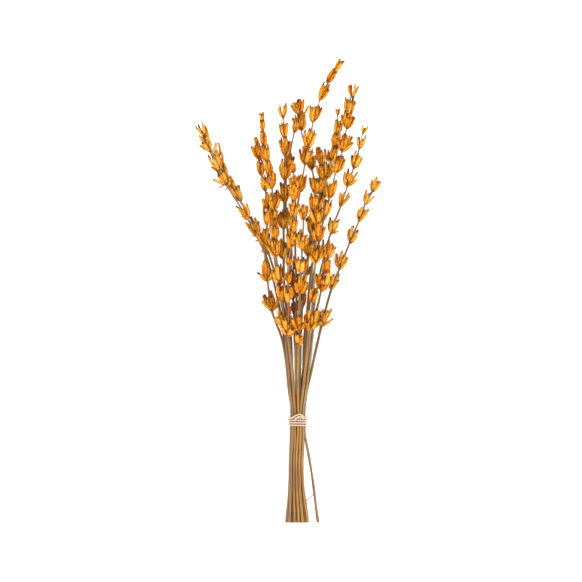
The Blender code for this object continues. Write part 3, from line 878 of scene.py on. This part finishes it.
def twine_shell(path, reference):
    """Twine along a path: radius * (fullness - groove + groove * |cos(plies / 2 * (angle - turns(s)))|),
    where turns(s) winds once round in each TWINE_TWIST."""
    run = np.concatenate([[0], np.cumsum(np.linalg.norm(np.diff(path, axis=0), axis=1))])
    at = np.linspace(0, run[-1], round(run[-1] / TWINE_FINE_STEP))
    path = between(path, run, at)
    if reference.ndim == 2:
        reference = between(reference, run, at)
    ply = np.abs(np.cos(TWINE_PLIES / 2 * (angles(TWINE_COLUMNS) - math.tau * at[:, None] / TWINE_TWIST)))
    rings = swept_rings(path, TWINE_RADIUS * (TWINE_FULLNESS - PLY_GROOVE + PLY_GROOVE * ply), reference)
    # How deep in a groove between plies each point lies, the mask for the twine's painted shade
    values = {"groove": np.append(1 - ply, [0.5, 0.5])}
    return grid_shells(rings[None], path[None, [0, -1]], values, at[None])


def rounded_path(points, steps):
    """A smooth line through the points, with this many steps between each two: a cubic in each gap,
    whose slope at a point is half the way from the point before to the one after."""
    padded = np.concatenate([[2 * points[0] - points[1]], points, [2 * points[-1] - points[-2]]])
    t = np.linspace(0, 1, steps, endpoint=False)[:, None]
    before, start, end, after = padded[:-3], padded[1:-2], padded[2:-1], padded[3:]
    curves = 0.5 * (
        2 * start[:, None]
        + (end - before)[:, None] * t
        + (2 * before - 5 * start + 4 * end - after)[:, None] * t**2
        + (3 * start - before - 3 * end + after)[:, None] * t**3
    )
    return np.concatenate([curves.reshape(-1, 3), points[-1:]])


def twine_wraps():
    """The middle line of the twine round the stems, a helix squared off as a superellipse: across and
    height are half width and half height times the square roots of cosine and sine."""
    around = STEM_RADIUS + TWINE_CLEARANCE + TWINE_RADIUS
    turn = np.linspace(0, TWINE_TURNS, TWINE_TURNS * TWINE_TURN_POINTS + 1)
    angle = math.tau * turn - math.pi / 2
    bend = 2 / TWINE_SQUARENESS
    across = np.sign(np.cos(angle)) * np.abs(np.cos(angle)) ** bend * (EDGE_COLUMN * SEAT_PITCH + around)
    rise = np.sign(np.sin(angle)) * np.abs(np.sin(angle)) ** bend * (TOP_ROW * ROW_PITCH + around)
    along = TIE_ALONG + (turn - TWINE_TURNS / 2) * TWINE_PITCH
    return np.stack([TIE_ACROSS + across, along, TIE_HEIGHT + rise], axis=1)


def make_tie(finish):
    """The twine's turns round the stems, and the two strands of its knot on top."""
    path = twine_wraps()
    out = path - (TIE_ACROSS, 0, TIE_HEIGHT)
    out[:, 1] = 0
    make_piece("twine_wraps", [twine_shell(path, out)], finish, ["twine_tie"])
    top = (0, TIE_ALONG, path[:, 2].max())
    strands = [
        twine_shell(rounded_path(np.add(line, top), KNOT_STEPS), np.array((0.0, 0.0, 1.0)))
        for line in (KNOT_STRAND, KNOT_BRIDGE)
    ]
    make_piece("twine_knot", strands, finish, ["twine_tie"])


# Materials


def from_hex(text):
    """An sRGB hex colour as linear red, green, blue and alpha."""
    channels = [int(text[i : i + 2], 16) / 255 for i in (1, 3, 5)]
    return (*[c / 12.92 if c <= 0.04045 else ((c + 0.055) / 1.055) ** 2.4 for c in channels], 1)


def feed(tree, node, values):
    """Sets a node's input sockets to numbers, or links them to the sockets that feed them."""
    for socket, value in values.items():
        if isinstance(value, bpy.types.NodeSocket):
            tree.links.new(value, node.inputs[socket])
        else:
            node.inputs[socket].default_value = value


def add(tree, kind, values=(), stops=(), **settings):
    """Adds a node. values maps input sockets to numbers or to the sockets that feed them, and stops
    maps places on a colour ramp to hex colours."""
    made = tree.nodes.new("ShaderNode" + kind)
    for name, value in settings.items():
        setattr(made, name, value)
    for rank, (place, colour) in enumerate(dict(stops).items()):
        steps = made.color_ramp.elements
        step = steps[rank] if rank < 2 else steps.new(place)
        step.position, step.color = place, from_hex(colour)
    feed(tree, made, dict(values))
    return made


def stained(tree, colour, stains):
    """A colour under stains laid on in turn, each (source, start, end, most, hex colour): none of it
    where its source is at start, and the most where its source is at end. A Mix node takes its share at
    socket 0 and its two colours at 6 and 7."""
    for source, start, end, most, stain in stains:
        share = add(tree, "MapRange", {0: source, 1: start, 2: end, 3: 0.0, 4: most})
        mixed = add(tree, "Mix", {0: share.outputs[0], 6: colour, 7: from_hex(stain)}, data_type="RGBA")
        colour = mixed.outputs[2]
    return colour


def new_material(name, *measures):
    """A material, with its node tree, its shader, the outputs of its texture coordinates, and a socket
    for each of these attributes of the mesh."""
    made = bpy.data.materials.new(name)
    made.use_nodes = True
    tree = made.node_tree
    where = add(tree, "TexCoord").outputs
    read = [add(tree, "Attribute", attribute_name=measure).outputs["Fac"] for measure in measures]
    return made, tree, tree.nodes["Principled BSDF"], where, *read


def preserved_dyed_calyx():
    """Lavender calyx, preserved in glycerine and soaked in orange dye: dry, felted with short hairs, with
    painted shade in the grooves between its ribs, on the side that faces the stem and where two calyces
    meet, darker red at its foot, partly its own colour and partly painted shade deep in the whorl, and brown
    at its teeth."""
    made, tree, shader, where, tint, reach, touch = new_material(
        "preserved dyed calyx", "tint", "reach", "touch"
    )
    # Mottling 2.5 mm across and speckles 0.9 mm across, where the felt took more or less of the dye,
    # spots 1.5 mm apart that took much more, and felt hairs 0.4 mm apart
    mottle, speckle, spots, felt = (
        add(tree, "TexNoise", {"Vector": where["Object"], "Scale": scale, "Detail": detail}).outputs["Fac"]
        for scale, detail in ((400, 3), (1100, 3), (650, 1), (2500, 3))
    )
    shade = tint
    for noise, low, change in ((mottle, 0.3, 0.22), (speckle, 0.35, 0.35)):
        uneven = add(tree, "MapRange", {0: noise, 1: low, 2: 1 - low, 3: -change, 4: change})
        total = add(tree, "Math", {0: shade, 1: uneven.outputs[0]}, operation="ADD", use_clamp=True)
        shade = total.outputs[0]
    dye = add(tree, "ValToRGB", {0: shade},
              {0.0: "#9A5008", 0.25: "#B46C0D", 0.55: "#C48418", 0.8: "#C8912E", 1.0: "#C59D4A"})
    # Five ribs round the calyx, one to each two of its modelled columns, with painted shade in the grooves
    # between them, and the side that faces the stem
    turn = add(tree, "SeparateXYZ", {0: where["UV"]}).outputs[0]
    waves = []
    for count in (CALYX_COLUMNS / 2, 1):
        angle = add(tree, "Math", {0: turn, 1: math.tau * count}, operation="MULTIPLY")
        waves.append(add(tree, "Math", {0: angle.outputs[0]}, operation="COSINE").outputs[0])
    ridge, stem_side_shade = waves
    colour = stained(tree, dye.outputs[0], (
        (spots, 0.57, 0.66, 0.75, "#86340A"),
        # Painted shade in the grooves between the ribs
        (ridge, 0.4, -1.0, 0.4, "#863B08"),
        # Painted shade on the side that faces the stem, inside the whorl
        (stem_side_shade, 0.0, -1.0, 0.5, "#672306"),
        # Its foot, darker red, partly its own colour and partly painted shade deep in the whorl, and its
        # teeth
        (reach, 0.2, 0.0, 0.6, "#773C0B"),
        (reach, 0.86, 1.05, 0.5, "#5E3A0C"),
        # Painted shade, a dark red line where two calyces meet
        (touch, 0.3, 1.0, 0.8, "#652704"),
        # The withered calyces and florets, red brown, their dried colour, and in the withered whorls deep in
        # the bunch also painted shade
        (tint, -0.4, -0.7, 0.8, "#522719"),
    ))
    relief = add(tree, "Math", {0: felt, 1: 2.5, 2: ridge}, operation="MULTIPLY_ADD")
    bump = add(tree, "Bump", {"Height": relief.outputs[0], "Strength": 0.7, "Distance": 0.00015})
    feed(tree, shader, {"Base Color": colour, "Normal": bump.outputs[0], "Roughness": 0.8,
                        "Specular IOR Level": 0.1})
    return made


def preserved_dyed_stem():
    """Lavender stem, dried and soaked in the same dye, which takes faintly on its woody skin: tan low
    down, grey olive where it thins, with fine lengthwise fibres and a pale pith at the cut."""
    made, tree, shader, where, rise, pith, tint, ridge, touch = new_material(
        "preserved dyed stem", "rise", "pith", "tint", "ridge", "touch"
    )
    # Fibres: texture coordinates are turns round and millimetres along, so 5 streaks round, 25 mm long
    stretched = add(tree, "Mapping", {"Vector": where["UV"], "Scale": (5, 0.04, 1)})
    streaks = add(tree, "TexNoise", {"Vector": stretched.outputs[0], "Scale": 1, "Detail": 4}).outputs["Fac"]
    # Patches 17 mm across fade more or less than the rest at their height
    blotch = add(tree, "TexNoise", {"Vector": where["Object"], "Scale": 60, "Detail": 3})
    age = add(tree, "MapRange", {0: blotch.outputs["Fac"], 1: 0.3, 2: 0.7, 3: -0.12, 4: 0.12})
    height = add(tree, "Math", {0: rise, 1: age.outputs[0]}, operation="ADD", use_clamp=True)
    # Each stem's own tone: grey tan, ochre, orange tan, rosy tan or dark brown
    own = add(tree, "ValToRGB", {0: tint},
              {0.0: "#6B5330", 0.25: "#86631F", 0.5: "#88591F", 0.75: "#784C25", 1.0: "#4C2B11"})
    # How dark the painted shade in the creases is, most of all in and below the tie
    depth = add(tree, "MapRange", {0: rise, 1: 0.3, 2: 0.55, 3: 0.9, 4: 0.35})
    colour = stained(tree, own.outputs[0], (
        (height.outputs[0], 0.35, 0.85, 0.78, "#6C5A39"),
        (streaks, 0.52, 0.36, 0.8, "#482506"),
        # Lavender's square stem has a groove down each face, which takes painted shade
        (ridge, -0.1, -1.0, 0.55, "#532E0B"),
        # Painted shade in the crease where two stems meet
        (touch, 0.3, 0.9, depth.outputs[0], "#482304"),
    ))
    cut = add(tree, "Mix", {0: pith, 6: colour, 7: from_hex("#B3A17B")}, data_type="RGBA")
    bump = add(tree, "Bump", {"Height": streaks, "Strength": 0.6, "Distance": 0.0001})
    feed(tree, shader, {"Base Color": cut.outputs[2], "Normal": bump.outputs[0], "Roughness": 0.6})
    return made


def cotton_twine():
    """Unbleached cotton, spun and twisted in three plies: matte and soft, with pinkish painted shade in its
    grooves.
    """
    made, tree, shader, where, groove = new_material("cotton twine", "groove")
    # Single threads 0.25 mm wide
    stretched = add(tree, "Mapping", {"Vector": where["UV"], "Scale": (12, 0.7, 1)})
    threads = add(tree, "TexNoise", {"Vector": stretched.outputs[0], "Scale": 1, "Detail": 3}).outputs["Fac"]
    colour = stained(tree, from_hex("#BBA28F"), (
        # Pinkish painted shade in the grooves between the plies
        (groove, 0.1, 0.9, 0.85, "#6B443A"),
        (threads, 0.55, 0.35, 0.4, "#A78873"),
    ))
    bump = add(tree, "Bump", {"Height": threads, "Strength": 0.5, "Distance": 0.00015})
    feed(tree, shader, {"Base Color": colour, "Normal": bump.outputs[0], "Roughness": 0.9,
                        "Sheen Weight": 0.3})
    return made


def pale_floor():
    """A matte white studio board with a faint grain, 3 mm across."""
    made, tree, shader, where = new_material("matte white board")
    grain = add(tree, "TexNoise", {"Vector": where["Object"], "Scale": 300, "Detail": 2})
    tone = add(tree, "Mix", {0: grain.outputs["Fac"], 6: from_hex("#FAFAF9"), 7: from_hex("#FDFDFC")},
               data_type="RGBA")
    feed(tree, shader, {"Base Color": tone.outputs[2], "Roughness": 0.9})
    return made


# Studio

FLOOR_HALF = 3.0
FLOOR_DROP = 0.0002
CAMERA_LENS = 600.0
CAMERA_REACH = 20.0
SENSOR = 36.0
PICTURE_MM = 500.5
VIEW_CENTRE = (0.00165, -0.0001)
BUNCH_MIDDLE_HEIGHT = 0.02
# Each light's name, place, size in metres and power in watts
LIGHTS = (("key", (-0.45, 0.6, 1.9), 2.4, 52), ("fill", (1.2, -0.6, 1.3), 1.6, 24))
ROOM_LIGHT = 1.53


def make_studio():
    """A pale floor, a camera straight above and two large soft lights in a white room."""
    half = FLOOR_HALF
    corners = [(-half, -half, 0), (half, -half, 0), (half, half, 0), (-half, half, 0)]
    mesh = bpy.data.meshes.new("floor")
    mesh.from_pydata(corners, [], [(0, 1, 2, 3)])
    mesh.materials.append(pale_floor())
    floor = new_object("floor", mesh)
    floor.location.z = -FLOOR_DROP

    lens = bpy.data.cameras.new("camera")
    lens.lens, lens.sensor_width = CAMERA_LENS, SENSOR
    lens.clip_end = CAMERA_REACH
    camera = new_object("camera", lens)
    distance = PICTURE_MM * MM * CAMERA_LENS / SENSOR
    camera.location = (*VIEW_CENTRE, BUNCH_MIDDLE_HEIGHT + distance)
    bpy.context.scene.camera = camera

    for name, place, size, power in LIGHTS:
        lamp = bpy.data.lights.new(name, "AREA")
        lamp.size, lamp.energy = size, power
        light = new_object(name, lamp)
        light.location = place
        light.rotation_mode = "QUATERNION"
        light.rotation_quaternion = (-Vector(place)).to_track_quat("-Z", "Y")

    bpy.context.scene.view_settings.view_transform = "Standard"
    world = bpy.data.worlds.new("white room")
    world.use_nodes = True
    sky = world.node_tree.nodes["Background"]
    sky.inputs["Color"].default_value = from_hex("#FFFFFF")
    sky.inputs["Strength"].default_value = ROOM_LIGHT
    bpy.context.scene.world = world


def main():
    """Makes the studio and every piece."""
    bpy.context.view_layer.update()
    make_studio()
    stems, laid = arrange()
    stem_finish, calyx_finish = preserved_dyed_stem(), preserved_dyed_calyx()
    for one in SPRAYS:
        make_spray(one, stems, laid, stem_finish, calyx_finish)
    make_tie(cotton_twine())


main()
